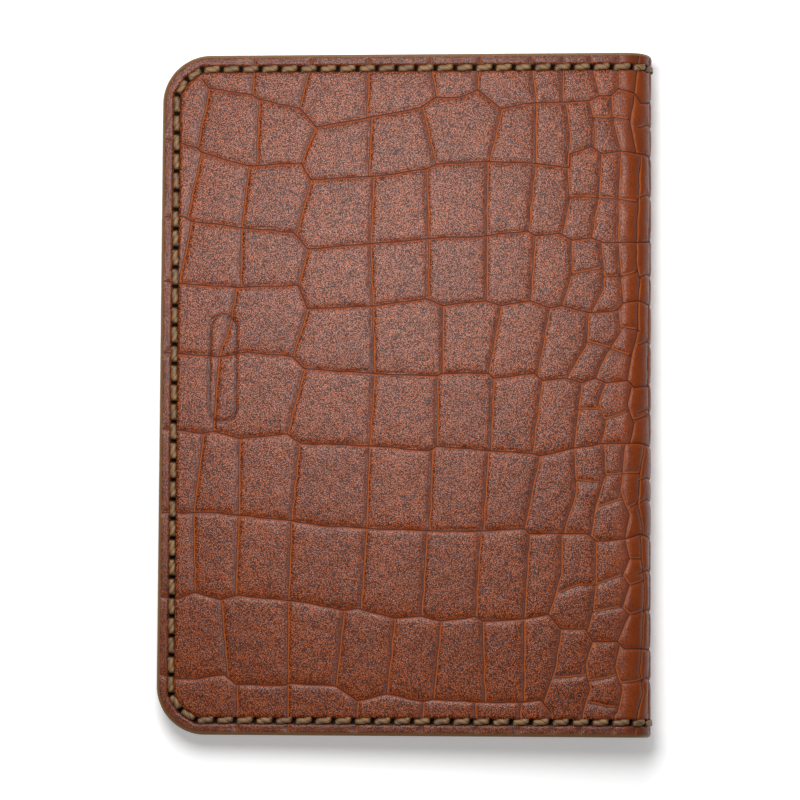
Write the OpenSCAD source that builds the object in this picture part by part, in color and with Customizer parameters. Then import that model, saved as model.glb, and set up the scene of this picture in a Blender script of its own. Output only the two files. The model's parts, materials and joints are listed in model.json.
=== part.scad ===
// Leather notebook cover, empty and shut: one hide folded round a spine, a full lining,
// a pocket in each cover for a notebook's card covers, and a saddle-stitched rim seam.
// +X runs towards the spine, +Y towards the head, +Z up. The front cover lies on the
// ground and the back cover on top slopes down to its fore edge.
// The spine bends all over: here it is parted at its fold lines into equal staves.

/* [Cover] */
// Length from foot to head
cover_l = 140; // [120:1:200]
// Width of one cover, from its fore edge to its first fold line
panel_w = 96.75; // [90:0.25:120]
// Radius of the two fore-edge corners
corner_r = 10; // [8:0.5:12]
// Slope of the back cover on the empty, shut cover, in degrees
wedge = 2.4; // [1.5:0.1:2.5]

/* [Leather] */
// Thickness of the embossed hide
hide_t = 1.5; // [1.3:0.1:1.8]
// Thickness of the lining
lining_t = 0.5; // [0.4:0.1:0.6]
// Thickness of a pocket's leather
pocket_t = 0.9; // [0.7:0.1:1]
// Slack behind a pocket, for a notebook's card cover
slot_t = 0.5; // [0.3:0.1:0.6]

/* [Spine] */
// Width of one stave, from fold line to fold line
stave_w = 3; // [2.9:0.1:3.4]
// Slit between staves at the fold line
fold_gap = 0.12; // [0.1:0.01:0.2]

/* [Pockets] */
// Width of the rim by which a pocket is stitched down
rim_w = 5; // [4.5:0.1:5.5]
// Stitches between the first fold line and the pocket's mouth
mouth_stitch = 9; // [6:1:14]

/* [Seam] */
// Distance of the seam from the edge
seam_inset = 3; // [2.5:0.1:3.5]
// Distance from the edges at which a straight run of the seam ends and the corner begins
seam_turn = 8.2; // [7.5:0.1:9]
// Nominal stitch length
pitch = 4; // [3.5:0.25:5]
// Width of the thread
thread_w = 1.2; // [0.9:0.1:1.3]
// Depth of the groove that the stitches lie in
groove_t = 0.5; // [0.4:0.05:0.6]
// Height of the stitches over the inside
rail_t = 0.4; // [0.3:0.05:0.5]
// Room round the thread in its groove and holes
play = 0.2; // [0.1:0.05:0.3]

/* [Hidden] */

LEATHER = [0.56, 0.3, 0.2];
LINING = [0.45, 0.26, 0.15];
POCKET = [0.5, 0.27, 0.16];
THREAD = [0.47, 0.38, 0.24];

staves = 4;
folds = staves + 1;
// Angle that each fold line turns through, between flat and shut
turn = (180 + wedge) / folds;
// The fold lines lie at mid thickness, on a circle about the spine's centre
half_t = (hide_t + lining_t) / 2;
fold_r = stave_w / (2 * sin(turn / 2));
function fold_angle(k) = -90 + turn * (k + 0.5);
// Widest and narrowest points, measured from the spine's centre
spine_reach = fold_r * cos(wedge / 2) + half_t * sin(2 * turn) - fold_gap / 2 * cos(2 * turn);
fore_reach = fold_r * cos(fold_angle(staves)) - panel_w * cos(wedge) - half_t * sin(wedge);
centre_x = -(spine_reach + fore_reach) / 2;
centre_z = half_t + fold_r * cos(turn / 2);
function fold_x(k) = centre_x + fold_r * cos(fold_angle(k));
function fold_z(k) = centre_z + fold_r * sin(fold_angle(k));

// Centres of the fore-edge corners
corner_s = panel_w - corner_r;
corner_y = cover_l / 2 - corner_r;

// The seam: straight runs, with one hole at the middle of each corner
seam_y = cover_l / 2 - seam_inset;
seam_s = panel_w - seam_inset;
run_s = panel_w - seam_turn;
run_y = cover_l / 2 - seam_turn;
seam_r = corner_r - seam_inset;
run_stitches = round(run_s / pitch);
fore_stitches = round(2 * run_y / pitch);
run_pitch = run_s / run_stitches;
fore_pitch = 2 * run_y / fore_stitches;
corner_hole = [corner_s + seam_r * cos(45), corner_y + seam_r * sin(45)];
seam_points = [
    [0, seam_y], [run_s, seam_y], corner_hole, [seam_s, run_y],
    [seam_s, -run_y], [corner_hole[0], -corner_hole[1]], [run_s, -seam_y], [0, -seam_y],
];
// Thread left at a fold line, where a hole is shared by two pieces
end_post = 0.6;
step_s = mouth_stitch * run_pitch;
mouth_s = step_s + run_pitch / 2;
hole_w = thread_w + play;

// A cover is drawn flat: X is the distance s from its fold line towards the fore edge,
// Y is along the spine and Z is the height n over mid thickness, towards the grain side.
// Below mid thickness the fold ends slope, so that shut pieces meet without overlap.
function fold_end(n) = fold_gap / 2 + max(0, -n) * tan(turn / 2);
function fold_levels(low, high) = (low < 0 && high > 0) ? [high, 0, low] : [high, low];

module outline(inset = 0) {
    r = corner_r - inset;
    translate([0, inset - cover_l / 2]) square([corner_s, cover_l - 2 * inset]);
    translate([0, -corner_y]) square([panel_w - inset, 2 * corner_y]);
    for (side = [-1, 1]) translate([corner_s, side * corner_y]) circle(r = r, $fn = 48);
}

module strip(from, to) {
    translate([from, -cover_l]) square([to - from, 2 * cover_l]);
}

module slab(low, high) {
    translate([0, 0, low]) linear_extrude(high - low) children();
}

module keep_to_fold(low, high) {
    levels = fold_levels(low, high);
    reach = 2 * panel_w;
    intersection() {
        children();
        rotate([90, 0, 0]) linear_extrude(2 * cover_l, center = true)
            polygon(concat([for (n = levels) [fold_end(n), n]], [[reach, low], [reach, high]]));
    }
}

module seam_line(w) {
    for (i = [0 : len(seam_points) - 2]) {
        a = seam_points[i];
        d = seam_points[i + 1] - a;
        translate(a) rotate(atan2(d[1], d[0])) translate([0, -w / 2]) square([norm(d), w]);
    }
    for (i = [1 : len(seam_points) - 2]) translate(seam_points[i]) circle(d = w, $fn = 32);
}

module seam_holes(w) {
    for (side = [-1, 1]) {
        translate([0, side * seam_y - w / 2]) square([end_post, w]);
        for (i = [1 : run_stitches]) translate([i * run_pitch, side * seam_y]) circle(d = w, $fn = 4);
        translate([corner_hole[0], side * corner_hole[1]]) circle(d = w, $fn = 4);
    }
    for (i = [0 : fore_stitches])
        translate([seam_s, i * fore_pitch - run_y]) circle(d = w, $fn = 4);
}

module hide() {
    color(LEATHER) keep_to_fold(lining_t - half_t, half_t) difference() {
        slab(lining_t - half_t, half_t) outline();
        slab(half_t - groove_t, half_t + 1) seam_line(hole_w);
        slab(-half_t - 1, half_t + 1) seam_holes(hole_w);
    }
}

module lining() {
    color(LINING) keep_to_fold(-half_t, lining_t - half_t) difference() {
        slab(-half_t, lining_t - half_t) outline();
        slab(-half_t - 1, half_t + 1) seam_holes(hole_w);
    }
}

module pocket() {
    color(POCKET) difference() {
        union() {
            slab(-half_t - pocket_t, -half_t) intersection() { outline(); strip(mouth_s, panel_w); }
            slab(-half_t - slot_t - pocket_t, -half_t)
                intersection() { outline(rim_w); strip(mouth_s, panel_w); }
        }
        slab(-half_t - slot_t, 1 - half_t)
            intersection() { outline(rim_w + pocket_t); strip(mouth_s - 1, panel_w); }
        slab(-half_t - slot_t - pocket_t - 1, half_t) seam_holes(hole_w);
    }
}

// The length of thread that lies inside the children's outline
module thread() {
    low = -half_t - rail_t;
    color(THREAD) keep_to_fold(low - pocket_t, half_t) {
        slab(half_t - groove_t, half_t) intersection() { seam_line(thread_w); children(); }
        slab(low, half_t)
            intersection() { seam_holes(thread_w); strip(0, step_s - thread_w / 2); children(); }
        slab(low, -half_t)
            intersection() { seam_line(thread_w); strip(0, step_s); children(); }
        slab(low - pocket_t, half_t)
            intersection() { seam_holes(thread_w); strip(step_s - thread_w / 2, panel_w); children(); }
        slab(low - pocket_t, -half_t - pocket_t)
            intersection() { seam_line(thread_w); strip(step_s - thread_w / 2, panel_w); children(); }
    }
}

module run_side(side) {
    translate([0, side > 0 ? 0 : -cover_l]) square([run_s + thread_w / 2, cover_l]);
}

module fore_side() {
    translate([run_s + thread_w / 2, -cover_l]) square([panel_w, 2 * cover_l]);
}

module on_front() {
    translate([fold_x(0), 0, fold_z(0)]) rotate([0, 180, 0]) children();
}

module on_back() {
    translate([fold_x(staves), 0, fold_z(staves)]) rotate([0, -wedge, 0]) mirror([1, 0, 0]) children();
}

// A stave is drawn as a profile: X runs across it from its middle, Y is the height n.
module stave_profile(low, high) {
    levels = fold_levels(low, high);
    last = len(levels) - 1;
    half_w = stave_w / 2;
    polygon(concat(
        [for (n = levels) [fold_end(n) - half_w, n]],
        [for (i = [last : -1 : 0]) [half_w - fold_end(levels[i]), levels[i]]]
    ));
}

// A stitch over the stave, through the holes at its fold lines and back inside
module stitch_profile(low) {
    half_w = stave_w / 2 - end_post;
    difference() {
        stave_profile(low, half_t);
        translate([-half_w, -half_t]) square([2 * half_w, 2 * half_t - groove_t]);
    }
}

module on_stave(k) {
    translate([fold_x(k - 1), 0, fold_z(k - 1)]) rotate([0, -k * turn, 0])
        translate([stave_w / 2, 0, 0]) mirror([0, 0, 1]) rotate([90, 0, 0]) children();
}

module along_spine(l, y = 0) {
    translate([0, 0, -y]) linear_extrude(l, center = true) children();
}

module stave_layer(low, high) {
    difference() {
        along_spine(cover_l) stave_profile(low, high);
        for (y = [-seam_y, seam_y]) along_spine(hole_w, y) stitch_profile(-half_t - rail_t);
    }
}

module spine_leather(k) {
    color(LEATHER) on_stave(k) stave_layer(lining_t - half_t, half_t);
}

module spine_lining(k) {
    color(LINING) on_stave(k) stave_layer(-half_t, lining_t - half_t);
}

module spine_thread(k, side) {
    color(THREAD) on_stave(k) along_spine(thread_w, side * seam_y) stitch_profile(-half_t - rail_t);
}

on_front() hide();  // front_leather
on_front() lining();  // front_lining
on_front() pocket();  // front_pocket
on_front() thread() run_side(1);  // front_thread_head
on_front() thread() fore_side();  // front_thread_fore_edge
on_front() thread() run_side(-1);  // front_thread_foot
spine_leather(1);  // spine_leather_1
spine_leather(2);  // spine_leather_2
spine_leather(3);  // spine_leather_3
spine_leather(4);  // spine_leather_4
spine_lining(1);  // spine_lining_1
spine_lining(2);  // spine_lining_2
spine_lining(3);  // spine_lining_3
spine_lining(4);  // spine_lining_4
spine_thread(1, 1);  // spine_thread_head_1
spine_thread(2, 1);  // spine_thread_head_2
spine_thread(3, 1);  // spine_thread_head_3
spine_thread(4, 1);  // spine_thread_head_4
spine_thread(1, -1);  // spine_thread_foot_1
spine_thread(2, -1);  // spine_thread_foot_2
spine_thread(3, -1);  // spine_thread_foot_3
spine_thread(4, -1);  // spine_thread_foot_4
on_back() hide();  // back_leather
on_back() lining();  // back_lining
on_back() pocket();  // back_pocket
on_back() thread() run_side(1);  // back_thread_head
on_back() thread() fore_side();  // back_thread_fore_edge
on_back() thread() run_side(-1);  // back_thread_foot
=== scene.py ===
"""Leather notebook cover: embossed hide, lining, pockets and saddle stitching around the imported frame.

Every shape is first drawn on the hide laid flat, in millimetres: t runs along the hide from the back
cover's fore edge, over the spine, to the front cover's fore edge; y runs towards the head; n is the
height over the middle of the thickness, positive towards the grain. place() wraps it round the spine.
"""
import json
import math
import bpy
import numpy as np
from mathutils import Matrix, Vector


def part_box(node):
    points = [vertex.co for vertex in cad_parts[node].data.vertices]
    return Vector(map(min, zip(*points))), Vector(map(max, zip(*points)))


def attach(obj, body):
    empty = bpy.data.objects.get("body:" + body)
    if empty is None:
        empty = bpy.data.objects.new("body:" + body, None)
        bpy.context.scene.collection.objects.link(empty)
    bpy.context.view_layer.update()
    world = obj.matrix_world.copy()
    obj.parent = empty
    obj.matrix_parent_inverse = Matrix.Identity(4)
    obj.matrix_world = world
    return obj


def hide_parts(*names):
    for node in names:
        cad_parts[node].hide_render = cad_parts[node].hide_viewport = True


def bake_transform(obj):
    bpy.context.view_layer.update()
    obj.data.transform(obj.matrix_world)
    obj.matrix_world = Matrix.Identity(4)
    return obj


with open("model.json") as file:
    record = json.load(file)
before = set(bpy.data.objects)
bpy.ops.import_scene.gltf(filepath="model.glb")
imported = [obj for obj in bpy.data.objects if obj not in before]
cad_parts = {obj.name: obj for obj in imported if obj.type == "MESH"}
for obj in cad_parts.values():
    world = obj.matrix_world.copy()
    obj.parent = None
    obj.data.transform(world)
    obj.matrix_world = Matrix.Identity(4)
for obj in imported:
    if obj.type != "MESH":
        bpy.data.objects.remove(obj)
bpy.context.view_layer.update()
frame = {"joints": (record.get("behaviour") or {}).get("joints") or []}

MM = 0.001


# ------------------------ sizes, from the frame

def fold_points():
    """Fold lines as (x, z) in mm, from the front cover round to the back cover."""
    folds = [j for j in frame["joints"] if j["name"].startswith("spine_fold_")]
    folds.sort(key=lambda j: j["name"])
    return [(j["pos_m"][0] / MM, j["pos_m"][2] / MM) for j in folds]


def circle_centre(p, q, r):
    """Centre of the circle through three points."""
    ax, ay = q[0] - p[0], q[1] - p[1]
    bx, by = r[0] - p[0], r[1] - p[1]
    d = 2 * (ax * by - ay * bx)
    a2, b2 = ax * ax + ay * ay, bx * bx + by * by
    return p[0] + (by * a2 - ay * b2) / d, p[1] + (ax * b2 - bx * a2) / d


FOLDS = fold_points()
ROLL_X, ROLL_Z = circle_centre(FOLDS[0], FOLDS[2], FOLDS[4])
FOLD_ANGLES = [math.atan2(z - ROLL_Z, x - ROLL_X) for x, z in FOLDS]
TURN = FOLD_ANGLES[1] - FOLD_ANGLES[0]
FRONT_ANGLE = FOLD_ANGLES[0] - TURN / 2
BACK_ANGLE = FOLD_ANGLES[4] + TURN / 2
GRAIN_N = FOLDS[0][1]                       # grain side, over the middle of the thickness
ROLL_R = ROLL_Z                             # radius of the grain side round the spine

_hide_low, _hide_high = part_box("front_leather")
HALF_L = (_hide_high.y - _hide_low.y) / 2 / MM
PANEL_W = FOLDS[0][0] - _hide_low.x / MM    # fold line to fore edge
FLAT_W = ROLL_X - _hide_low.x / MM          # flat part of a cover, as far as the roll
ROLL_W = ROLL_R * (BACK_ANGLE - FRONT_ANGLE)
HIDE_W = 2 * FLAT_W + ROLL_W
_pocket_low, _pocket_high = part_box("front_pocket")
POCKET_D = (_pocket_high.x - _pocket_low.x) / MM

HIDE_T = 1.5
FLESH_N = GRAIN_N - HIDE_T                  # hide against lining
LINING_N = -GRAIN_N                         # lining's inner face
LINING_GAP = 0.08                           # the lining stops this much short of the outline
POCKET_GAP = 0.12                           # and a pocket this much
POCKET_T = 0.9                              # pocket sheet
SLOT_T = 0.5                                # room for the notebook's card
RIM_W = 5.0                                 # stitched rim of a pocket
CORNER_R = 10.0
SEAM_INSET = 3.0
SEAM_TURN = 8.2                             # where a straight run ends and the corner begins
EDGE_R = 0.85                               # burnished round of the outer edge
FAR = 4.0                                   # distance given where no line or hole is near

RUN_STITCHES = 22                           # stitches along a cover's head or foot
FORE_STITCHES = 31                          # stitches along a fore edge
STITCH_HALF_W = 0.62
STITCH_HALF_H = 0.42


# ------------------------ wrapping the flat hide

def roll_angle(t):
    """Angle round the spine at hide length t."""
    return BACK_ANGLE - (t - FLAT_W) / ROLL_R


def roll_t(angle):
    """Hide length at an angle round the spine."""
    return FLAT_W + (BACK_ANGLE - angle) * ROLL_R


def place(t, y, n):
    """Points of the flat hide (mm) in the shut cover (m)."""
    t, y, n = np.broadcast_arrays(np.asarray(t, float), y, n)
    angle = np.clip(roll_angle(t), FRONT_ANGLE, BACK_ANGLE)
    back_run = np.maximum(FLAT_W - t, 0)
    front_run = np.maximum(t - FLAT_W - ROLL_W, 0)
    radius = ROLL_R - GRAIN_N + n
    x = ROLL_X + radius * np.cos(angle) - math.sin(BACK_ANGLE) * back_run - front_run
    z = ROLL_Z + radius * np.sin(angle) + math.cos(BACK_ANGLE) * back_run
    return np.stack([x, y, z], -1) * MM


def point(t, n=0.0):
    """One point on the hide's middle line, as a tuple in metres."""
    return tuple(float(v) for v in place(t, 0.0, n))


def smooth(low, high, value):
    """Smooth step from 0 at low to 1 at high."""
    w = np.clip((value - low) / (high - low), 0, 1)
    return w * w * (3 - 2 * w)


def bend_corners(t, y):
    """Moves a square grid's corner quadrants onto the cover's rounded corners, ring onto ring."""
    from_edge = np.minimum(t, HIDE_W - t)
    a = (CORNER_R - from_edge) / CORNER_R
    b = (np.abs(y) - (HALF_L - CORNER_R)) / CORNER_R
    inside = (a > 0) & (b > 0)
    a_safe = np.where(inside, a, 1.0)
    b_safe = np.where(inside, b, 1.0)
    ring = np.maximum(a_safe, b_safe)
    quarter = math.pi / 4
    angle = np.where(a_safe >= b_safe, quarter * b_safe / a_safe, 2 * quarter - quarter * a_safe / b_safe)
    new_edge = CORNER_R * (1 - ring * np.cos(angle))
    new_y = np.sign(y) * (HALF_L - CORNER_R + CORNER_R * ring * np.sin(angle))
    new_t = np.where(t < HIDE_W / 2, new_edge, HIDE_W - new_edge)
    return np.where(inside, new_t, t), np.where(inside, new_y, y)


def inset(t, y):
    """Distance from the cover's outline."""
    a = CORNER_R - np.minimum(t, HIDE_W - t)
    b = np.abs(y) - (HALF_L - CORNER_R)
    corner = (a > 0) & (b > 0)
    straight = CORNER_R - np.maximum(a, b)
    return np.where(corner, CORNER_R - np.hypot(a, b), straight)


# ------------------------ the embossed scales

# Cross creases on the back cover: (t, height above the foot), each from the fore edge to the spine.
ROW_CREASES = [
    [(7.5, 136), (9, 134), (18, 132.5), (19.5, 131.5), (28, 129.5), (31.5, 125.5), (43, 127.5),
     (53.5, 129.5), (56.5, 131.5), (61.5, 131.5), (65, 133), (70, 129), (74.5, 130), (88, 130.5),
     (90, 131.5), (92.5, 131.5), (94, 133), (97.5, 132), (99, 130), (105, 131)],
    [(0, 123.5), (6.5, 121.5), (7.5, 120.5), (17.5, 117.5), (19, 117.5), (28.5, 118), (30.5, 114.5),
     (42.5, 115), (54.5, 116.5), (56.5, 117.5), (67, 118), (77, 117.5), (81, 117), (84, 116.5),
     (84.1, 119.5), (88.5, 121), (90.5, 119.5), (94.5, 120), (98, 119.5), (105, 119)],
    [(0, 107), (4, 107), (5.5, 106), (16, 104.5), (27, 103.5), (30, 100), (43, 101), (55, 102),
     (67, 102.5), (75.5, 103.5), (77, 102.5), (82, 103), (84.5, 101.5), (88.5, 102), (91, 101),
     (94, 101), (98, 101), (105, 102)],
    [(0, 93.5), (3, 93), (15, 92), (16, 92), (28, 92.5), (30, 87.5), (43.5, 88), (54.5, 89.5),
     (58, 88), (67, 89), (70, 88), (76, 89), (80, 87.5), (82.5, 88), (88, 86.5), (94, 87),
     (95, 88.5), (98.5, 89), (105, 88)],
    [(0, 78.5), (11.5, 77.5), (17.5, 78.5), (27, 77.5), (29.5, 75), (44, 74), (57, 73.5), (58, 74),
     (67.5, 74), (68.5, 73), (77, 74), (78.5, 72.5), (83, 73), (86.5, 72), (89.5, 73),
     (91.5, 72), (96, 72.5), (97.5, 71), (105, 72)],
    [(0, 62.5), (8.5, 61.5), (10.5, 62), (16, 60.5), (26, 61.5), (29, 59.5), (43, 59), (55.5, 58),
     (57, 59), (68, 58), (76.5, 57.5), (78, 57), (84.5, 58.5), (90.5, 59.5), (101, 59.5), (105, 59)],
    [(0, 45), (6.5, 45), (11.5, 45), (16, 44.5), (27, 43.5), (33, 42.5), (42.5, 42), (55.5, 41.5),
     (66, 41.5), (75, 42), (76, 41), (82.5, 41), (88, 41), (89.5, 39.5), (95.5, 40), (99, 41),
     (105, 40)],
    [(0, 27.5), (3.5, 27), (7, 28.5), (12.5, 27), (16, 28), (26, 27), (31, 26.5), (38, 25),
     (41, 25.5), (48.5, 23.5), (54, 24), (58, 23), (65, 24), (66.5, 23), (74.5, 23.5), (80, 24.5),
     (82.5, 21.5), (87.5, 21.5), (89, 19), (94, 19), (95.5, 17.5), (105, 17.5)],
    [(0, 11.5), (3.5, 10.5), (7.5, 10.5), (13.5, 11.5), (16, 9.5), (26, 9.5), (27, 10), (36.5, 9.5),
     (41, 6.5), (47, 8), (54.5, 6.5), (56.5, 7), (65, 6.5), (74.5, 6.5), (78.5, 7), (80.5, 4.5)],
]

# Lengthwise creases between two rows: the t of each from its upper end to its lower end.
COLUMN_CREASES = [
    [(18.5, 18), (30.5, 28), (42.5, 42), (55, 56.5), (65.5, 65), (76, 77), (82.5, 82.5),
     (88, 90), (94, 94), (98.5, 97.5), (102, 103)],
    [(9, 6.5), (19.5, 19), (31.5, 28.5), (43, 42.5), (53.5, 56.5), (70, 67.5), (77, 77),
     (83, 84, 83.5), (88, 89, 89), (92.5, 93, 94.5), (97.5, 96.5, 98), (102.5, 103)],
    [(7.5, 4.5), (17.5, 16), (30.5, 27.5), (43.5, 43), (54.5, 55), (67, 67), (77, 75.5),
     (83.5, 84, 82.5), (90.5, 90, 88.5), (94.5, 94, 94), (99, 98.5, 98), (102, 103, 102)],
    [(5.5, 3), (16, 16), (30, 28), (43, 43.5), (55, 55), (67, 67), (77, 76), (84.5, 84.5, 82.5),
     (90.5, 91, 91, 88.5), (94, 95), (98, 98, 99, 98.5), (103, 102.5)],
    [(15, 14, 11.5), (30, 27), (43.5, 44), (58, 58), (70, 67.5), (80, 77.5), (88, 87.5, 83.5),
     (94, 94.5, 91.5, 89.5), (98.5, 98.5, 97, 96), (102, 101.5)],
    [(11.5, 10.5), (29.5, 26), (44, 43), (57, 57), (68.5, 68), (78.5, 76.5), (86.5, 85),
     (91.5, 90, 91.5, 90.5), (97, 96, 97.5, 96.5), (102, 102.5)],
    [(8.5, 6.5), (16, 16), (28.5, 27), (43, 42.5), (56, 55.5), (67.5, 66.5), (78, 75),
     (85, 85.5, 83), (91, 91.5, 89.5, 88.5), (95.5, 95, 94.5, 96.5, 95.5), (100.5, 99, 98.5, 100)],
    [(6.5, 7), (16, 15.5), (27, 26.5), (42.5, 41.5), (55, 54), (66, 65), (76, 75),
     (82.5, 82.5, 80), (99, 100.5, 99.5), (103, 102.5)],
    [(12.5, 14), (26.5, 26.5), (38, 36.5), (48.5, 47), (58, 56.5), (66.5, 67), (75, 75),
     (82.5, 81.5, 79), (89, 87.5, 88.5, 87), (94.5, 93.5, 95, 94), (99.5, 99, 100, 98.5), (103, 102)],
    [(16, 16), (26.5, 26.5), (41, 40.5), (54.5, 54), (65, 65.5), (74.5, 74), (80.5, 81),
     (87, 86.5), (93.5, 93), (98.5, 97.5), (102.5, 103)],
]

# Short creases that part the small scales beside the spine.
RUNGS = [
    [(89, 127), (93, 127), (96.5, 126.5)],
    [(84, 110.5), (87.5, 110.5), (94, 110), (98, 109.5)],
    [(84.5, 94.5), (91, 95.5)],
    [(91, 94), (94.5, 94), (98, 95)],
    [(87.5, 80.5), (91.5, 79.5), (97, 77.5)],
    [(94.5, 83.5), (98.5, 83)],
    [(86, 66.5), (90, 66.5)],
    [(91.5, 64.5), (96, 66)],
    [(97.5, 64.5), (101, 65.5)],
    [(85.5, 52), (89.5, 51.5)],
    [(91.5, 53), (99, 53.5)],
    [(90, 46.5), (94.5, 48)],
    [(96.5, 46.5), (98.5, 47.5)],
    [(82.5, 29), (86.5, 30.5), (89.5, 30.5), (95, 32.5), (96.5, 30.5), (100, 31.5)],
    [(96.5, 36), (99.5, 36)],
    [(89.5, 39.5), (89.5, 30.5), (89, 25.5), (88, 21.5)],
    [(95.5, 40), (96.5, 36), (95, 32.5)],
    [(89, 25), (95, 26), (96.5, 24.5), (98.5, 25)],
    [(96.5, 30.5), (95, 26)],
    [(96.5, 24.5), (94, 19)],
    [(81.5, 11.5), (87, 12)],
    [(88.5, 11), (93.5, 12)],
    [(95, 10.5), (98.5, 11)],
    [(88.5, 6.5), (94, 5.5)],
]

SPINE_RUNGS = [125, 110.5, 94, 80, 66, 52, 47.5, 33, 25, 11]

# The blind ornament near the fore edge: a plain frame with round ends.
ORNAMENT_T = 13.0
ORNAMENT_Y = 5.0
ORNAMENT_HALF_L = 11.0
ORNAMENT_HALF_W = 2.7


def row_height(row, t):
    """Height above the foot of a cross crease at hide length t."""
    if row < 0:
        return 2 * HALF_L
    if row >= len(ROW_CREASES):
        return 0.0
    chain = ROW_CREASES[row]
    return float(np.interp(t, [p[0] for p in chain], [p[1] for p in chain]))


def column_chains():
    """Each lengthwise crease as points from the row above it to the row below it."""
    chains = []
    for band, columns in enumerate(COLUMN_CREASES):
        for column in columns:
            top = row_height(band - 1, column[0])
            foot = row_height(band, column[-1])
            steps = np.linspace(top, foot, len(column))
            chains.append(list(zip(column, steps)))
    return chains


def spine_rung_chains():
    """Creases across the middle of the spine, where the small scales meet."""
    return [[(98.5, v), (101, v + 0.7), (105, v)] for v in SPINE_RUNGS]


def ornament_chain(turns=12):
    """The ornament's outline as a closed chain of points on the hide."""
    chain = []
    straight = ORNAMENT_HALF_L - ORNAMENT_HALF_W
    for end in (1, -1):
        for k in range(turns + 1):
            angle = math.pi * k / turns
            along = ORNAMENT_Y + end * (straight + ORNAMENT_HALF_W * math.sin(angle))
            chain.append((ORNAMENT_T + end * ORNAMENT_HALF_W * math.cos(angle), along + HALF_L))
    return chain + chain[:1]


def wander(chain, step=2.4, reach=0.09):
    """Divides a crease into short steps that stray a little, as a real crease does."""
    points = [np.array(chain[0], float)]
    for start, end in zip(chain[:-1], chain[1:]):
        start, end = np.array(start, float), np.array(end, float)
        length = np.linalg.norm(end - start)
        count = max(1, round(length / step))
        across = np.array([start[1] - end[1], end[0] - start[0]]) / max(length, 1e-6)
        for k in range(1, count + 1):
            at = start + (end - start) * k / count
            stray = math.sin(at[0] * 2.1 + at[1] * 1.3) + 0.7 * math.sin(at[0] * 3.7 - at[1] * 4.3)
            fade = 0.0 if k == count else 1.0
            points.append(at + across * reach * stray * fade)
    return points


def seam_chain():
    """The seam's line round the whole hide, from hole to hole at the corners."""
    seam_y = HALF_L - SEAM_INSET
    quarter = [(HIDE_W / 2, seam_y), (SEAM_TURN, seam_y), corner_hole(), (SEAM_INSET, HALF_L - SEAM_TURN)]
    upper = quarter + [(t, -y) for t, y in reversed(quarter)]
    whole = upper + [(HIDE_W - t, y) for t, y in reversed(upper)]
    return [(t, y + HALF_L) for t, y in whole]


def corner_hole():
    """The hole at the middle of the back cover's head corner."""
    reach = (CORNER_R - SEAM_INSET) / math.sqrt(2)
    return CORNER_R - reach, HALF_L - CORNER_R + reach


def segments(chains):
    """Start and end points of every step of the chains, with heights measured from the middle."""
    starts, ends = [], []
    for chain in chains:
        for start, end in zip(chain[:-1], chain[1:]):
            starts.append((start[0], start[1] - HALF_L))
            ends.append((end[0], end[1] - HALF_L))
    return np.array(starts), np.array(ends)


def nearest(points, lines, reach=FAR):
    """Distance from each point to the nearest line, the vector to it, and the line's side, -1 or 1."""
    best = np.full(len(points), reach)
    vectors = np.zeros_like(points)
    sides = np.ones(len(points))
    for start, end in zip(*lines):
        low = np.minimum(start, end) - reach
        high = np.maximum(start, end) + reach
        near = np.flatnonzero(np.all((points > low) & (points < high), axis=1))
        if len(near) == 0:
            continue
        along = end - start
        local = points[near] - start
        share = np.clip(local @ along / max(along @ along, 1e-9), 0, 1)
        offset = share[:, None] * along - local
        distance = np.hypot(offset[:, 0], offset[:, 1])
        turn = along[0] * local[:, 1] - along[1] * local[:, 0]
        closer = distance < best[near]
        best[near[closer]] = distance[closer]
        vectors[near[closer]] = offset[closer]
        sides[near[closer]] = np.where(turn[closer] < 0, -1, 1)
    return best, vectors, sides


ROW_LINES = segments([wander(c) for c in ROW_CREASES])
COLUMN_LINES = segments([wander(c) for c in column_chains() + RUNGS + spine_rung_chains()])
ORNAMENT_LINES = segments([ornament_chain()])
SEAM_LINES = segments([seam_chain()])


# Fit of the creases' layout to the hide: a stretch across it everywhere, and a shift along it
# and a further stretch that are strongest at the fore edge and fade over LAYOUT_FADE.
LAYOUT_STRETCH = 1.007
LAYOUT_SHIFT = 0.82
LAYOUT_SPREAD = 0.009
LAYOUT_FADE = 40.0

# How far the mirrored emboss strays, and the length over which it begins to
STRAY_T = 2.2
STRAY_Y = 2.4
STRAY_BEND = 1.5
STRAY_FADE = 30.0


def emboss_coordinates(t, y):
    """Where points of the hide lie in the layout of the creases, and whether they are mirrored.

    The emboss runs on over the spine as its own mirror image, which strays as it goes.
    """
    over = t > HIDE_W / 2
    fade = smooth(HIDE_W / 2, HIDE_W / 2 + STRAY_FADE, t)
    mirrored = HIDE_W - t + fade * STRAY_T * np.sin(y * 0.11 + 0.6)
    shifted = y + fade * (STRAY_Y * np.sin(t * 0.13 + 1.0) + STRAY_BEND * np.sin(y * 0.05))
    emboss_t = np.where(over, mirrored, t)
    emboss_y = np.where(over, shifted, y)
    near_edge = np.exp(-emboss_t / LAYOUT_FADE)
    layout_t = emboss_t - LAYOUT_SHIFT * near_edge
    layout_y = emboss_y * (LAYOUT_STRETCH + LAYOUT_SPREAD * near_edge)
    return layout_t, layout_y, over


# Widths over which a scale falls to a crease, on its gentle side and on its steep side
ROW_FALL = (1.5, 0.50)
COLUMN_FALL = (1.0, 0.45)
SHADE_W = 0.9                               # painted shade and a grey painted reflection: a darker strip on the gentle side of a lengthwise crease


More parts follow.
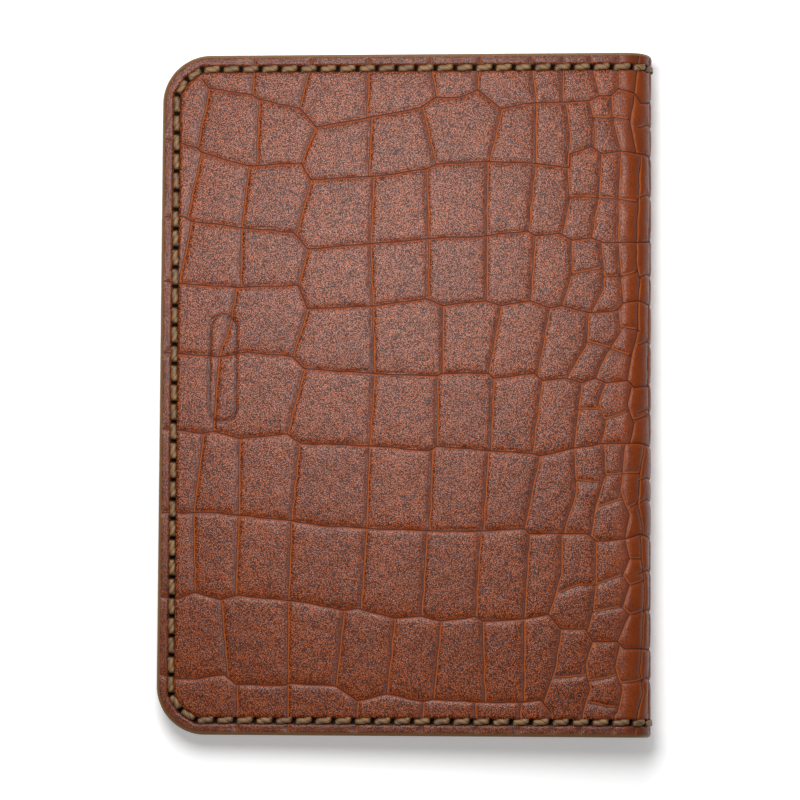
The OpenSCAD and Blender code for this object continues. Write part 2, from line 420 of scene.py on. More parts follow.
def scale_creases(t, y):
    """Plain and signed distances to the cross and lengthwise creases, the scales' fall and shade,
    and the way to a crease.

    A scale falls away gently towards the crease at its spine side or foot, and steeply at the others.
    """
    et, ey, over = emboss_coordinates(t, y)
    points = np.stack([et.ravel(), ey.ravel()], 1)
    rows, to_row, row_side = nearest(points, ROW_LINES)
    columns, to_column, column_side = nearest(points, COLUMN_LINES)
    row_width = np.where(to_row[:, 1] < 0, *ROW_FALL)
    gentle_column = to_column[:, 0] > 0
    column_width = np.where(gentle_column, *COLUMN_FALL)
    fall = np.maximum(np.exp(-rows / row_width), np.exp(-columns / column_width))
    shade = np.where(gentle_column, np.exp(-(columns / SHADE_W) ** 1.5), 0) * smooth(0, 0.4, rows)
    vector = np.where((rows < columns)[:, None], to_row, to_column)
    vector[:, 0] *= np.where(over.ravel(), -1, 1)
    shape = t.shape
    signed = (rows * row_side, columns * column_side)
    fields = [values.reshape(shape) for values in (rows, columns, *signed, fall, shade)]
    return fields + [vector.reshape(shape + (2,))]


def seam_distance(t, y):
    """Distance to the seam's line."""
    points = np.stack([t.ravel(), y.ravel()], 1)
    return nearest(points, SEAM_LINES)[0].reshape(t.shape)


# ------------------------ the seam

def seam_holes(side):
    """Hole centres (t, y) of one cover's seam, as head, corner-to-corner fore edge and foot runs."""
    seam_y = HALF_L - SEAM_INSET
    pitch = (PANEL_W - SEAM_TURN) / RUN_STITCHES
    fold_t = roll_t(FOLD_ANGLES[4] if side == "back" else FOLD_ANGLES[0])
    run = [PANEL_W - pitch * k for k in range(RUN_STITCHES, 0, -1)]
    run = [t if side == "back" else HIDE_W - t for t in run] + [fold_t]
    corner = corner_hole()
    fore_y = np.linspace(HALF_L - SEAM_TURN, SEAM_TURN - HALF_L, FORE_STITCHES + 1)
    fore = [(SEAM_TURN, seam_y), corner] + [(SEAM_INSET, y) for y in fore_y]
    fore += [(corner[0], -corner[1]), (SEAM_TURN, -seam_y)]
    if side == "front":
        fore = [(HIDE_W - t, y) for t, y in fore]
    return {"head": [(t, seam_y) for t in run], "fore_edge": fore, "foot": [(t, -seam_y) for t in run]}


def spine_holes():
    """Hole centres (t, y) at the fold lines, from the front cover round to the back cover."""
    seam_y = HALF_L - SEAM_INSET
    folds = [roll_t(angle) for angle in FOLD_ANGLES]
    return {"head": [(t, seam_y) for t in folds], "foot": [(t, -seam_y) for t in folds]}


def all_holes():
    """Centres of every stitch hole of the hide, as rows of (t, y)."""
    holes = []
    for runs in (seam_holes("back"), seam_holes("front"), spine_holes()):
        for run in runs.values():
            holes += run
    return np.array(holes)


HOLES = all_holes()
HOLE_REACH = 1.5                            # holes are looked for this far from the seam's line


def hole_distance(t, y, seam):
    """Distance to the nearest stitch hole, worked out only near the seam."""
    distance = np.full(t.shape, FAR)
    near = np.nonzero(seam < HOLE_REACH)
    points = np.stack([t[near], y[near]], 1)
    best = np.full(len(points), FAR)
    for hole in HOLES:
        best = np.minimum(best, np.hypot(*(points - hole).T))
    distance[near] = best
    return distance


# ------------------------ meshes

# Grid lines' distances from an outline edge, close at the edge's round and at the seam's groove
EDGE_STEPS = [0, 0.05, 0.13, 0.25, 0.4, 0.6, 0.85, 1.15, 1.5, 1.85, 2.15, 2.35, 2.55, 2.75, 2.9,
              3.05, 3.2, 3.4, 3.6, 3.85, 4.2, 4.6, 5.0]
COARSE_EDGE_STEPS = [0, 0.1, 0.25, 0.5, 1.0, 1.7, 2.3, 2.6, 3.0, 3.4, 3.7, 4.3, 4.8, 5.1, 5.4, 5.8]
CUT_STEP = 0.02                             # and beside a cut, where two pieces meet
HIDE_STEP = 0.405
LINING_STEP = 0.9
SPINE_LINING_STEP = 0.5
POCKET_STEP = 0.8


def lines_between(low, high, step, low_edge=False, high_edge=False):
    """Grid lines from low to high, closer together beside an outline edge or a cut."""
    start = [low + s for s in EDGE_STEPS] if low_edge else [low, low + CUT_STEP]
    end = [high - s for s in reversed(EDGE_STEPS)] if high_edge else [high - CUT_STEP, high]
    count = max(1, round((end[0] - start[-1]) / step))
    middle = np.linspace(start[-1], end[0], count + 1)[1:-1]
    return np.array(start + list(middle) + end)


def coarse_lines(low, high, step, cut_ends=False):
    """Evenly spaced grid lines, with a few close ones beside each end, or one beside a cut."""
    ends = [e for e in COARSE_EDGE_STEPS if e < (high - low) / 2 - step]
    if cut_ends:
        ends = [0, CUT_STEP]
    count = max(1, round((high - low - 2 * ends[-1]) / step))
    middle = np.linspace(low + ends[-1], high - ends[-1], count + 1)[1:-1]
    return np.array([low + e for e in ends] + list(middle) + [high - e for e in reversed(ends)])


SHARP_ANGLE = 58.0


def make_object(name, points, faces, attributes=None):
    """A smooth mesh object, with its point attributes."""
    mesh = bpy.data.meshes.new(name)
    mesh.from_pydata(points.tolist(), [], faces)
    for key, values in (attributes or {}).items():
        layer = mesh.attributes.new(key, "FLOAT_VECTOR", "POINT")
        layer.data.foreach_set("vector", np.asarray(values, np.float32).ravel())
    mesh.shade_smooth()
    mesh.set_sharp_from_angle(angle=math.radians(SHARP_ANGLE))
    obj = bpy.data.objects.new(name, mesh)
    bpy.context.scene.collection.objects.link(obj)
    return obj


def grid_faces(index, flip=False):
    """Quads over a grid of vertex numbers."""
    quads = np.stack([index[:-1, :-1], index[:-1, 1:], index[1:, 1:], index[1:, :-1]], -1)
    if flip:
        quads = quads[..., ::-1]
    return quads.reshape(-1, 4).tolist()


def wall_faces(top, foot):
    """Quads round the border, from the top grid's rim to the bottom grid's rim."""
    faces = []
    rims = [(top[0], foot[0]), (top[:, -1], foot[:, -1]), (top[-1, ::-1], foot[-1, ::-1]),
            (top[::-1, 0], foot[::-1, 0])]
    for upper, lower in rims:
        for k in range(len(upper) - 1):
            faces.append([int(upper[k]), int(lower[k]), int(lower[k + 1]), int(upper[k + 1])])
    return faces


def closed_sheet(name, t, y, upper_n, lower_n, marks, plain_under=None):
    """A closed sheet between two heights. plain_under=(first, last) columns get one flat underside face."""
    rows, columns = t.shape
    top = np.arange(rows * columns).reshape(rows, columns)
    keep = np.ones((rows, columns), bool)
    if plain_under:
        first, last = plain_under
        keep[1:-1, first + 1:last] = False
        if first == 0:
            keep[1:-1, 0] = True
        if last == columns - 1:
            keep[1:-1, last] = True
    under = np.full((rows, columns), -1)
    under[keep] = rows * columns + np.arange(keep.sum())
    points = np.concatenate([place(t, y, upper_n).reshape(-1, 3), place(t, y, lower_n)[keep]])
    flat = np.stack([t, y + HALF_L, np.zeros_like(t)], -1) * MM
    attributes = {"flat": np.concatenate([flat.reshape(-1, 3), flat[keep]])}
    for key, values in marks.items():
        attributes[key] = np.concatenate([values.reshape(-1, 3), values[keep]])
    faces = grid_faces(top) + wall_faces(top, under)
    if plain_under:
        faces += grid_faces(under[:, :first + 1], flip=True) + grid_faces(under[:, last:], flip=True)
        ring = [int(v) for v in under[0, first:last + 1]]
        ring += [int(v) for v in under[1:, last]]
        ring += [int(v) for v in under[-1, first:last][::-1]]
        ring += [int(v) for v in under[1:-1, first][::-1]]
        faces.append(ring[::-1])
    else:
        faces += grid_faces(under, flip=True)
    return make_object(name, points, faces, attributes)


# ------------------------ the hide

def snap_to_creases(t, y, vector, edge, cuts, reach=0.17):
    """Moves the grid's points onto the creases beside them, so that a crease is one crisp line."""
    length = np.hypot(vector[..., 0], vector[..., 1])
    free = (length < reach) & (edge > 1.0) & (np.abs(edge - SEAM_INSET) > 1.0)
    for cut in cuts:
        free &= np.abs(t - cut) > 0.5
    return np.where(free, t + vector[..., 0], t), np.where(free, y + vector[..., 1], y)


# Depths and half widths of the relief on the grain side
ROW_DEPTH, ROW_W = 0.16, 0.26
COLUMN_DEPTH, COLUMN_W = 0.18, 0.34
FALL_DEPTH = 0.15
DOME_DEPTH, DOME_W = 0.06, 2.0
RIPPLE_DEPTH = 0.022
GROOVE_DEPTH = 0.30
HOLE_DEPTH = 0.9
ORNAMENT_DEPTH, ORNAMENT_LINE_W = 0.26, 0.30
SEAM_PRESS = 0.7                            # share of the scales' relief pressed flat under the thread
SKIN = 0.01                                 # the grain side lies this much inside the frame's face


def hide_height(t, y, rows, columns, fall, edge, seam, hole, ornament):
    """Height of the grain side: domed scales, creases, seam groove, holes, ornament and round edge."""
    rim = smooth(0.3, 1.6, edge)
    row_dip = ROW_DEPTH * np.exp(-(rows / ROW_W) ** 1.3)
    column_dip = COLUMN_DEPTH * np.exp(-(columns / COLUMN_W) ** 1.5)
    dip = np.maximum(row_dip, column_dip)
    dome = FALL_DEPTH * fall + DOME_DEPTH * np.exp(-np.minimum(rows, columns) / DOME_W)
    lumps = np.sin(t * 0.9 + 1.7 * np.sin(y * 0.4)) * np.sin(y * 1.1 + 1.3 * np.sin(t * 0.5))
    ripple = RIPPLE_DEPTH * (lumps - 1)
    groove = GROOVE_DEPTH * (1 - smooth(0.60, 0.95, seam))
    sink = HOLE_DEPTH * (1 - smooth(0.30, 0.75, hole))
    frame_line = ORNAMENT_DEPTH * np.exp(-(ornament / ORNAMENT_LINE_W) ** 2)
    pressed = 1 - SEAM_PRESS * (1 - smooth(0.6, 1.1, seam))
    ball = np.clip(EDGE_R - edge, 0, EDGE_R)
    drop = EDGE_R - np.sqrt(EDGE_R ** 2 - ball ** 2)
    relief = (dip + dome) * rim * pressed
    return GRAIN_N - SKIN - relief + ripple - groove - sink - frame_line - drop


ROLL_FADE = (14, 3)                         # the roll's painted shade, and the fading of the grain, begin and are full this far from its middle


def at_edges(low, high):
    """Whether a stretch of the hide begins at one fore edge, and whether it ends at the other."""
    return low < 1e-6, high > HIDE_W - 1e-6


def hide_piece(name, low, high, cuts):
    """One stretch of the hide between two hide lengths."""
    low_edge, high_edge = at_edges(low, high)
    t_lines = lines_between(low, high, HIDE_STEP, low_edge, high_edge)
    y_lines = lines_between(-HALF_L, HALF_L, HIDE_STEP, True, True)
    t, y = np.meshgrid(t_lines, y_lines)
    t, y = bend_corners(t, y)
    edge = inset(t, y)
    vector = scale_creases(t, y)[-1]
    t, y = snap_to_creases(t, y, vector, edge, cuts)
    rows, columns, row_line, column_line, fall, shade, _ = scale_creases(t, y)
    ornament = nearest(np.stack([t.ravel(), y.ravel()], 1), ORNAMENT_LINES)[0].reshape(t.shape)
    seam = seam_distance(t, y)
    hole = hole_distance(t, y, seam)
    upper = hide_height(t, y, rows, columns, fall, edge, seam, hole, ornament)
    marks = {
        "creases": np.stack([rows, columns, edge], -1) * MM,
        "lines": np.stack([row_line, column_line, np.zeros_like(t)], -1) * MM,
        "marks": np.stack([hole, seam, ornament], -1) * MM,
        # shade holds masks of painted shade: beside lengthwise creases, at the scales' falls, and on the
        # roll
        "shade": np.stack([shade, fall, smooth(*ROLL_FADE, np.abs(t - HIDE_W / 2))], -1),
    }
    plain = None
    if low_edge:
        plain = (0, int(np.searchsorted(t_lines, FLAT_W)) - 1)
    elif high_edge:
        plain = (int(np.searchsorted(t_lines, HIDE_W - FLAT_W)) + 1, len(t_lines) - 1)
    return closed_sheet(name, t, y, upper, np.full_like(t, FLESH_N), marks, plain)


# ------------------------ lining and pockets

def sheet_marks(t, y, edge):
    """A plain sheet's attributes, and its distances to the seam and the holes."""
    seam = seam_distance(t, y)
    hole = hole_distance(t, y, seam)
    far = np.full_like(t, FAR)
    marks = {
        "creases": np.stack([far, far, edge], -1) * MM,
        "marks": np.stack([hole, seam, far], -1) * MM,
    }
    return marks, seam, hole


def lining_piece(name, low, high):
    """One stretch of the lining, which shows between the pockets."""
    low_edge, high_edge = at_edges(low, high)
    low_in = low + LINING_GAP * low_edge
    high_in = high - LINING_GAP * high_edge
    if low_edge or high_edge:
        t_lines = coarse_lines(low_in, high_in, LINING_STEP)
    else:
        t_lines = coarse_lines(low_in, high_in, SPINE_LINING_STEP, cut_ends=True)
    y_lines = coarse_lines(-HALF_L + LINING_GAP, HALF_L - LINING_GAP, LINING_STEP)
    t, y = bend_corners(*np.meshgrid(t_lines, y_lines))
    edge = inset(t, y)
    marks, seam, hole = sheet_marks(t, y, edge)
    groove = 0.12 * (1 - smooth(0.5, 0.95, seam))
    sink = 0.3 * (1 - smooth(0.25, 0.62, hole))
    round_off = 0.12 * (1 - smooth(0, 0.4, edge))
    under = LINING_N + 0.01 + groove + sink + round_off
    return closed_sheet(name, t, y, np.full_like(t, FLESH_N - 0.02), under, marks)


MOUTH_CREASE = 2.2                          # the creased line's distance from a pocket's mouth


def pocket_piece(name, side):
    """A pocket: a stitched rim round a raised field, open towards the spine."""
    low, high = (POCKET_GAP, POCKET_D) if side == "back" else (HIDE_W - POCKET_D, HIDE_W - POCKET_GAP)
    t_lines = coarse_lines(low, high, POCKET_STEP)
    y_lines = coarse_lines(-HALF_L + POCKET_GAP, HALF_L - POCKET_GAP, POCKET_STEP)
    t, y = bend_corners(*np.meshgrid(t_lines, y_lines))
    edge = inset(t, y)
    mouth = np.abs(np.minimum(t, HIDE_W - t) - POCKET_D)
    marks, seam, hole = sheet_marks(t, y, edge)
    marks["creases"][..., 2] = np.minimum(edge, mouth) * MM
    field = SLOT_T * smooth(RIM_W - 0.5, RIM_W + 0.7, edge)
    groove = 0.14 * (1 - smooth(0.5, 0.95, seam)) + 0.3 * (1 - smooth(0.25, 0.62, hole))
    crease = 0.10 * np.exp(-((mouth - MOUTH_CREASE) / 0.3) ** 2)
    soft = 0.3 * (1 - smooth(0, 0.55, np.minimum(edge, mouth)))
    upper = LINING_N - 0.02 - field
    under = LINING_N - POCKET_T - field + groove + crease + soft
    return closed_sheet(name, t, y, upper, under, marks)


# ------------------------ thread

RINGS = 15                                  # rings of points along a stitch
AROUND = 14                                 # points round a ring
STITCH_SHORT = 0.20                         # a stitch dips in this much before the hole's centre
STITCH_LIFT = 0.02                          # height of a stitch's middle line over its surface
STITCH_DIVE = 0.62                          # how far its ends go down from there
PLY_VALLEY = 0.80                           # share of full thickness between the plies
PLY_RISE = 0.24                             # what a ply adds to it
PLY_TWIST = 1.7                             # twist in radians for each mm
LEVEL_SLANT = 0.26                          # sideways reach of a stitch's ends along head and foot
EDGE_SLANT = 0.10                           # and along a fore edge


def stitch(start, end, base, side, phase, slant):
    """One twisted stitch from hole to hole: its points, ply depths, strand positions and faces.

    base(t) is the height of the surface it lies on, side is 1 on the grain side and -1 inside.
    """
    start, end = np.array(start), np.array(end)
    length = np.linalg.norm(end - start)
    along = (end - start) / length
    across = np.array([-along[1], along[0]])
    share = np.linspace(-1, 1, RINGS)
    reach = length / 2 - STITCH_SHORT
    dive = smooth(0.74, 1.0, np.abs(share))
    swell = (1 - np.abs(share) ** 3.5) ** 0.5 * 0.45 + 0.58
    angle = np.arange(AROUND) * 2 * math.pi / AROUND
    points, depths, strands = [], [], []
    for k in range(RINGS):
        middle = (start + end) / 2 + along * share[k] * reach + across * slant * share[k]
        turned = angle - phase - share[k] * reach * PLY_TWIST
        ply = PLY_VALLEY + PLY_RISE * np.abs(np.cos(turned))
        wide = STITCH_HALF_W * swell[k] * ply * np.cos(angle)
        high = STITCH_HALF_H * swell[k] * ply * np.sin(angle)
        t = middle[0] + across[0] * wide
        y = middle[1] + across[1] * wide
        lift = STITCH_LIFT - STITCH_DIVE * dive[k]
        points.append(place(t, y, base(t) + side * (lift + high)))
        depths.append(np.stack([ply, np.full(AROUND, dive[k]), np.zeros(AROUND)], -1))
        run = np.full(AROUND, phase * 5 + share[k] * 0.5)
        strands.append(np.stack([np.cos(turned), np.sin(turned), run], -1))
    points = np.concatenate(points)
    depths = np.concatenate(depths)
    strands = np.concatenate(strands)
    faces = []
    for k in range(RINGS - 1):
        for m in range(AROUND):
            a, b = k * AROUND + m, k * AROUND + (m + 1) % AROUND
            quad = [a, b, b + AROUND, a + AROUND]
            faces.append(quad if side > 0 else quad[::-1])
    first = list(range(AROUND))
    last = [(RINGS - 1) * AROUND + m for m in range(AROUND)]
    faces.append(first[::-1] if side > 0 else first)
    faces.append(last if side > 0 else last[::-1])
    return points, depths, strands, faces


def outer_base(t):
    """Outside, the thread lies a little sunk in the grain side."""
    return np.full_like(t, GRAIN_N - 0.10)


def inner_base(t):
    """Inside, the thread lies on the pocket's rim, and on the lining between the pockets."""
    from_edge = np.minimum(t, HIDE_W - t)
    on_pocket = 1 - smooth(POCKET_D - 0.5, POCKET_D + 0.5, from_edge)
    return LINING_N + 0.08 - POCKET_T * on_pocket


def stitch_run(name, holes, seed):
    """All stitches of one run, on the grain side and inside, as one object."""
    rng = np.random.default_rng(seed)
    points, depths, strands, faces, count = [], [], [], [], 0
    for start, end in zip(holes[:-1], holes[1:]):
        level = abs(start[1] - end[1]) < 0.01
        for base, side in ((outer_base, 1), (inner_base, -1)):
            slant = LEVEL_SLANT if level else EDGE_SLANT
            new = stitch(start, end, base, side, rng.uniform(0, math.pi), slant)
            points.append(new[0])
            depths.append(new[1])
            strands.append(new[2])
            faces += [[v + count for v in face] for face in new[3]]
            count += len(new[0])
    marks = {"ply": np.concatenate(depths), "strand": np.concatenate(strands)}
    return make_object(name, np.concatenate(points), faces, marks)


# ------------------------ materials

def rgb(r, g, b):
    """Linear colour from 0-255 display values."""
    return [((c / 255 + 0.055) / 1.055) ** 2.4 if c > 10 else c / 255 / 12.92 for c in (r, g, b)] + [1]


class Nodes:
    """Short calls for building one material's node tree."""

    def __init__(self, name):
        self.material = bpy.data.materials.new(name)
        self.material.use_nodes = True
        self.tree = self.material.node_tree
        self.shader = self.tree.nodes["Principled BSDF"]

    def add(self, kind, **inputs):
        """A new node with its inputs set; an underscore in a name stands for a space."""
        node = self.tree.nodes.new(kind)
        for key, value in inputs.items():
            self.put(node.inputs[key.replace("_", " ")], value)
        return node

    def put(self, socket, value):
        """Links an output to a socket, or sets the socket's own value."""
        if isinstance(value, bpy.types.NodeSocket):
            self.tree.links.new(value, socket)
        else:
            socket.default_value = value

    def attribute(self, name):
        """A mesh attribute, as a vector."""
        node = self.add("ShaderNodeAttribute")
        node.attribute_name = name
        return node.outputs["Vector"]

    def split(self, vector):
        """The three parts of a vector."""
        node = self.add("ShaderNodeSeparateXYZ")
        self.put(node.inputs[0], vector)
        return node.outputs

    def math(self, operation, a, b=0.0, clamp=False):
        """One operation on two values, kept between 0 and 1 if clamp is set."""
        node = self.add("ShaderNodeMath")
        node.operation = operation
        node.use_clamp = clamp
        self.put(node.inputs[0], a)
        self.put(node.inputs[1], b)
        return node.outputs[0]

    def ramp(self, value, low, high, at_low, at_high):
        """A smooth step from at_low to at_high, as the value goes from low to high."""
        node = self.add("ShaderNodeMapRange")
        node.interpolation_type = "SMOOTHSTEP"
        for key, entry in zip(("Value", "From Min", "From Max", "To Min", "To Max"),
                              (value, low, high, at_low, at_high)):
            self.put(node.inputs[key], entry)
        return node.outputs["Result"]

    def mix(self, factor, a, b):
        """Colour a, turning to colour b as the factor goes from 0 to 1."""
        node = self.add("ShaderNodeMix")
        node.data_type = "RGBA"
        self.put(node.inputs["Factor"], factor)
        self.put(node.inputs[6], a)
        self.put(node.inputs[7], b)
        return node.outputs[2]

    def noise(self, vector, size, detail=3.0, rough=0.55):
        """Noise with features of about the given size in metres."""
        node = self.add("ShaderNodeTexNoise", Scale=1 / size, Detail=detail, Roughness=rough)
        self.put(node.inputs["Vector"], vector)
        return node.outputs["Fac"]

    def cells(self, vector, size):
        """Distance to the nearest cell centre, 0 to about 1, in cells of the given size in metres."""
        node = self.add("ShaderNodeTexVoronoi", Scale=1 / size)
        node.feature = "SMOOTH_F1"
        node.inputs["Smoothness"].default_value = 0.35
        self.put(node.inputs["Vector"], vector)
        return node.outputs["Distance"]

    def line(self, signed, distance, shift, cell=0.0003):
        """Distance to a line shifted sideways: from its signed distance, and the plain one further off."""
        beside = self.math("ABSOLUTE", self.math("SUBTRACT", signed, shift))
        return self.math("MAXIMUM", beside, self.math("SUBTRACT", distance, cell))

    def bump(self, height, distance):
        """The normal of a bumpy surface, whose bumps are the height times a distance in metres."""
        node = self.add("ShaderNodeBump", Height=height, Distance=distance)
        return node.outputs["Normal"]


def embossed_leather():
    """Glazed chestnut leather: red-brown scales, orange in the creases, burnished at the edge."""
    n = Nodes("embossed_leather_finish")
    flat = n.attribute("flat")
    creases = n.split(n.attribute("creases"))
    marks = n.split(n.attribute("marks"))
    shade = n.split(n.attribute("shade"))
    lines = n.split(n.attribute("lines"))
    patches = n.noise(flat, 0.014, 2.0)
    clumps = n.noise(flat, 0.0016, 2.0, 0.6)
    pebbles = n.cells(flat, 0.00022)
    base = n.mix(n.ramp(patches, 0.35, 0.65, 0, 1), rgb(124, 51, 17), rgb(138, 59, 20))
    base = n.mix(n.ramp(clumps, 0.45, 0.75, 0, 0.35), base, rgb(78, 34, 20))
    # Painted shade in the grain's hollows and painted glints on its tops, both fading over the spine's
    # roll.
    grainy = n.ramp(shade[2], 0.0, 1.0, 1, 0.25)
    pits = n.ramp(pebbles, 0.37, 0.65, 0, 1)
    base = n.mix(n.math("MULTIPLY", pits, grainy), base, rgb(54, 19, 6))
    painted_glints = n.ramp(pebbles, 0.12, 0.40, 0.55, 0)
    base = n.mix(n.math("MULTIPLY", painted_glints, grainy), base, rgb(216, 124, 60))
    # Painted shade on the spine's roll, where it curves away from the light.
    base = n.mix(n.ramp(shade[2], 0.0, 1.0, 0, 0.50), base, rgb(110, 46, 7))
    # Painted shade: darker and more saturated where a scale falls away towards a crease.
    base = n.mix(n.ramp(shade[1], 0.45, 1.0, 0, 0.34), base, rgb(108, 46, 15))
    # Painted shade with a grey painted reflection, on the gentle side of each lengthwise crease.
    base = n.mix(n.ramp(shade[0], 0.1, 1.0, 0, 0.55), base, rgb(92, 66, 64))
    on_column = n.ramp(n.line(lines[1], creases[1], 0.00012), 0.00006, 0.00032, 0.9, 0)
    base = n.mix(on_column, base, rgb(154, 76, 26))
    # Painted shade: a dark core line in each lengthwise crease.
    column_core_shade = n.ramp(n.line(lines[1], creases[1], -0.00005), 0.00006, 0.00020, 0.9, 0)
    base = n.mix(column_core_shade, base, rgb(68, 25, 8))
    on_row = n.ramp(n.line(lines[0], creases[0], -0.00010), 0.00006, 0.00034, 0.9, 0)
    base = n.mix(on_row, base, rgb(134, 58, 18))
    # Painted shade: a dark core line in each cross crease.
    row_core_shade = n.ramp(n.line(lines[0], creases[0], 0.00003), 0.00006, 0.00021, 1, 0)
    base = n.mix(row_core_shade, base, rgb(62, 21, 6))
    rim = n.ramp(creases[2], 0.0019, 0.0027, 0.35, 0)
    base = n.mix(rim, base, rgb(70, 36, 26))
    in_frame = n.ramp(marks[2], 0.0001, 0.0005, 0.85, 0)
    base = n.mix(in_frame, base, rgb(60, 22, 10))
    burnish = n.ramp(creases[2], 0.00040, 0.00085, 1, 0)
    base = n.mix(burnish, base, rgb(112, 82, 48))
    in_groove = n.ramp(marks[1], 0.0006, 0.0009, 0.65, 0)
    base = n.mix(in_groove, base, rgb(50, 26, 15))
    # Painted shadow: the stitch holes are nearly black.
    hole_shadow = n.ramp(marks[0], 0.00044, 0.00072, 1, 0)
    base = n.mix(hole_shadow, base, rgb(8, 6, 4))
    n.put(n.shader.inputs["Base Color"], base)
    dull = n.math("MAXIMUM", n.math("MAXIMUM", on_column, on_row), hole_shadow)
    dull = n.math("MAXIMUM", dull, n.math("MULTIPLY", pits, 0.32))
    rough = n.ramp(clumps, 0.3, 0.7, 0.23, 0.29)
    n.put(n.shader.inputs["Roughness"], n.math("ADD", rough, n.math("MULTIPLY", dull, 0.6), True))
    n.shader.inputs["Specular IOR Level"].default_value = 0.24
    height = n.math("MULTIPLY", pebbles, -1.0)
    height = n.math("ADD", height, n.math("MULTIPLY", clumps, 0.9))
    n.put(n.shader.inputs["Normal"], n.bump(height, 0.000032))
    return n.material


def plain_leather(name, light, dark):
    """Smooth vegetable-tanned leather with a fine grain and a burnished edge."""
    n = Nodes(name)
    flat = n.attribute("flat")
    creases = n.split(n.attribute("creases"))
    marks = n.split(n.attribute("marks"))
    patches = n.noise(flat, 0.03, 4.0)
    grain = n.cells(flat, 0.00055)
    fine = n.noise(flat, 0.0016, 4.0, 0.65)
    base = n.mix(n.ramp(patches, 0.3, 0.7, 0, 1), light, dark)
    base = n.mix(n.ramp(grain, 0.5, 0.9, 0, 0.35), base, dark)
    base = n.mix(n.ramp(fine, 0.5, 0.8, 0, 0.3), base, dark)
    burnish = n.ramp(creases[2], 0.0002, 0.0008, 0.9, 0)
    base = n.mix(burnish, base, rgb(84, 50, 26))
    # Painted shadow: the stitch holes are nearly black.
    hole_shadow = n.ramp(marks[0], 0.00035, 0.00070, 1, 0)
    base = n.mix(hole_shadow, base, rgb(14, 9, 6))
    n.put(n.shader.inputs["Base Color"], base)
    n.put(n.shader.inputs["Roughness"], n.ramp(fine, 0.3, 0.7, 0.50, 0.64))
    n.shader.inputs["Specular IOR Level"].default_value = 0.4
    height = n.math("ADD", n.math("MULTIPLY", grain, -0.6), n.math("MULTIPLY", fine, 0.5))
    n.put(n.shader.inputs["Normal"], n.bump(height, 0.00005))
    return n.material


def waxed_thread():
    """Olive-brown waxed thread: two soft plies, with painted shade where they meet and where they enter a
    hole.
    """
    n = Nodes("waxed_thread_finish")
    ply = n.split(n.attribute("ply"))
    strand = n.attribute("strand")
    fibre = n.noise(strand, 0.35, 3.0, 0.65)
    tone = n.noise(strand, 3.0, 1.0)
    base = n.mix(n.ramp(tone, 0.35, 0.65, 0, 1), rgb(114, 82, 49), rgb(142, 104, 61))
    # Painted shade in the valley between the plies.
    base = n.mix(n.ramp(ply[0], 0.81, 0.93, 0.7, 0), base, rgb(56, 38, 20))
    base = n.mix(n.ramp(fibre, 0.38, 0.62, 0.6, 0), base, rgb(72, 53, 33))
    # Painted shadow where the thread dives into a hole.
    base = n.mix(n.ramp(ply[1], 0.15, 0.8, 0, 0.92), base, rgb(24, 16, 10))
    n.put(n.shader.inputs["Base Color"], base)
    n.shader.inputs["Roughness"].default_value = 0.5
    n.put(n.shader.inputs["Normal"], n.bump(fibre, 0.00010))
    return n.material


def floor_material():
    """Matt white with a faint glow of its own, so that shadows on it stay light."""
    n = Nodes("pale_floor")
    n.shader.inputs["Base Color"].default_value = rgb(250, 250, 250)
    n.shader.inputs["Roughness"].default_value = 0.9
    n.shader.inputs["Specular IOR Level"].default_value = 0.1
    n.shader.inputs["Emission Color"].default_value = (1, 1, 1, 1)
    n.shader.inputs["Emission Strength"].default_value = 0.30
    return n.material


# ------------------------ stage

CAMERA_AT = (29.9, -64.0, 800.0)
CAMERA_TILT = (4.527, 2.209, 0.354)         # degrees about x, y and z
CAMERA_LENS = 174.8
SENSOR_W = 36.0
SKY_STRENGTH = 0.17
FLOOR_LEVEL = -0.40
FLOOR_HALF = 900.0
# Soft lights: name, place and width in mm, and power in watts
LIGHTS = [
    ("overhead_light", (-30.0, 60.0, 230.0), 145.0, 0.62),
    ("head_light", (-20.0, 520.0, 340.0), 360.0, 1.25),
]


def make_camera():
    """Almost straight above the cover, with the photo's slight tilt and turn."""
    data = bpy.data.cameras.new("camera")
    data.sensor_width = SENSOR_W
    data.lens = CAMERA_LENS
    data.clip_start = 0.01
    camera = bpy.data.objects.new("camera", data)
    camera.location = [v * MM for v in CAMERA_AT]
    camera.rotation_euler = [math.radians(a) for a in CAMERA_TILT]
    bpy.context.scene.collection.objects.link(camera)
    bpy.context.scene.camera = camera


def make_soft_light(name, at, width, power):
    """A round soft light that faces the cover."""
    data = bpy.data.lights.new(name, "AREA")
    data.shape = "DISK"
    data.size = width * MM
    data.energy = power
    light = bpy.data.objects.new(name, data)
    light.location = [v * MM for v in at]
    light.visible_camera = False
    light.rotation_euler = (-light.location).to_track_quat("-Z", "Y").to_euler()
    bpy.context.scene.collection.objects.link(light)


def make_lights():
    """Soft lights over the cover and beyond its head, and an even pale sky."""
    for light in LIGHTS:
        make_soft_light(*light)
    world = bpy.data.worlds.new("sky")
    world.use_nodes = True
    sky = world.node_tree.nodes["Background"]
    sky.inputs["Color"].default_value = (1, 1, 1, 1)
    sky.inputs["Strength"].default_value = SKY_STRENGTH
    bpy.context.scene.world = world
    bpy.context.scene.view_settings.view_transform = "Standard"


def make_floor():
    """A plain pale floor just under the cover."""
    signs = ((-1, -1), (1, -1), (1, 1), (-1, 1))
    corners = np.array([(FLOOR_HALF * x, FLOOR_HALF * y, FLOOR_LEVEL) for x, y in signs])
    floor = make_object("floor", corners * MM, [[0, 1, 2, 3]])
    floor.data.materials.append(floor_material())


# ------------------------ assembly

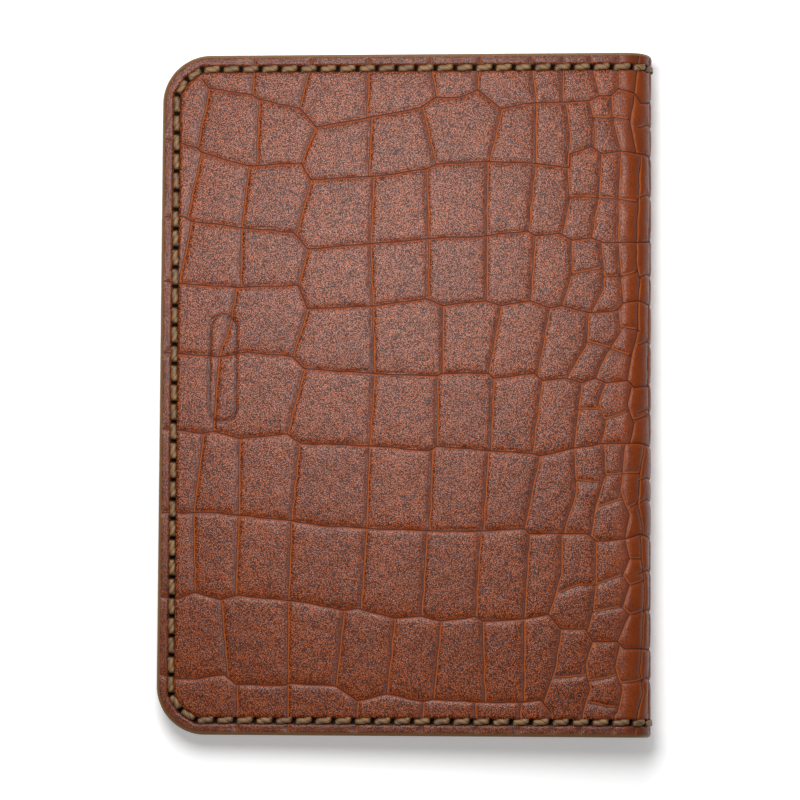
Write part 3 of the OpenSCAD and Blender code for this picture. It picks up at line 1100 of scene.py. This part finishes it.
# The sheets are cut at the middle of each stave, counted from the front cover.
CUTS = [roll_t(angle + TURN / 2) for angle in FOLD_ANGLES[:4]]
COVER_STRETCHES = (("back", 0.0, CUTS[3]), ("front", CUTS[0], HIDE_W))
STRIP_NODES = {1: (1, 2), 2: (3,), 3: (4,)}     # the staves that each spine strip stands for
BLEND_IN = 0.35                             # points this much short of a cut are worked out, and not used
LINING_COLOURS = (rgb(146, 98, 62), rgb(134, 87, 54))
POCKET_COLOURS = (rgb(138, 90, 56), rgb(126, 80, 48))


def finish_piece(piece, material, nodes):
    """Gives a piece its material, and hides the frame's nodes that it stands for."""
    piece.data.materials.append(material)
    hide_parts(*nodes)


def blend_cover(piece, side):
    """A cover's own piece reaches to the middle of the nearest stave; its transform is baked into its mesh.
    """
    if side == "front":
        point(HIDE_W - FLAT_W)
        point(CUTS[0] + BLEND_IN)
        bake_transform(piece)
    else:
        point(FLAT_W)
        point(CUTS[3] - BLEND_IN)
        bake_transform(piece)


def blend_strip(piece, k):
    """A spine strip runs from the middle of stave k to the middle of stave k + 1."""
    point(CUTS[k - 1] - BLEND_IN)
    point(CUTS[k] + BLEND_IN)
    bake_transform(piece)


def build_hide(material):
    """The hide: a stretch for each cover, and three strips over the spine."""
    for side, low, high in COVER_STRETCHES:
        piece = hide_piece(f"{side}_cover_hide", low, high, CUTS)
        finish_piece(piece, material, [f"{side}_leather"])
        blend_cover(piece, side)
    for k, staves in STRIP_NODES.items():
        piece = hide_piece(f"spine_hide_{k}", CUTS[k], CUTS[k - 1], CUTS)
        finish_piece(piece, material, [f"spine_leather_{m}" for m in staves])
        blend_strip(piece, k)


def build_lining(material):
    """The lining, parted as the hide is."""
    for side, low, high in COVER_STRETCHES:
        piece = lining_piece(f"{side}_cover_lining", low, high)
        finish_piece(piece, material, [f"{side}_lining"])
        blend_cover(piece, side)
    for k, staves in STRIP_NODES.items():
        piece = lining_piece(f"spine_lining_strip_{k}", CUTS[k], CUTS[k - 1])
        finish_piece(piece, material, [f"spine_lining_{m}" for m in staves])
        blend_strip(piece, k)


def build_pockets(material):
    """A pocket in each cover."""
    for side in ("back", "front"):
        piece = pocket_piece(f"{side}_pocket_sheet", side)
        finish_piece(piece, material, [f"{side}_pocket"])
        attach(piece, f"{side}_cover")


def build_thread(material):
    """The seam's stitches: three runs on each cover, and one stitch on each stave at head and foot."""
    for number, side in enumerate(("back", "front")):
        for offset, (run, holes) in enumerate(seam_holes(side).items()):
            piece = stitch_run(f"{side}_stitches_{run}", holes, 10 * number + offset)
            finish_piece(piece, material, [f"{side}_thread_{run}"])
            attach(piece, f"{side}_cover")
    for offset, (run, holes) in enumerate(spine_holes().items()):
        for k in range(4):
            piece = stitch_run(f"spine_stitch_{run}_{k + 1}", holes[k:k + 2], 40 + 10 * offset + k)
            finish_piece(piece, material, [f"spine_thread_{run}_{k + 1}"])
            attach(piece, f"spine_{k + 1}")


make_camera()
make_lights()
build_hide(embossed_leather())
build_lining(plain_leather("lining_leather_finish", *LINING_COLOURS))
build_pockets(plain_leather("pocket_leather_finish", *POCKET_COLOURS))
build_thread(waxed_thread())
make_floor()
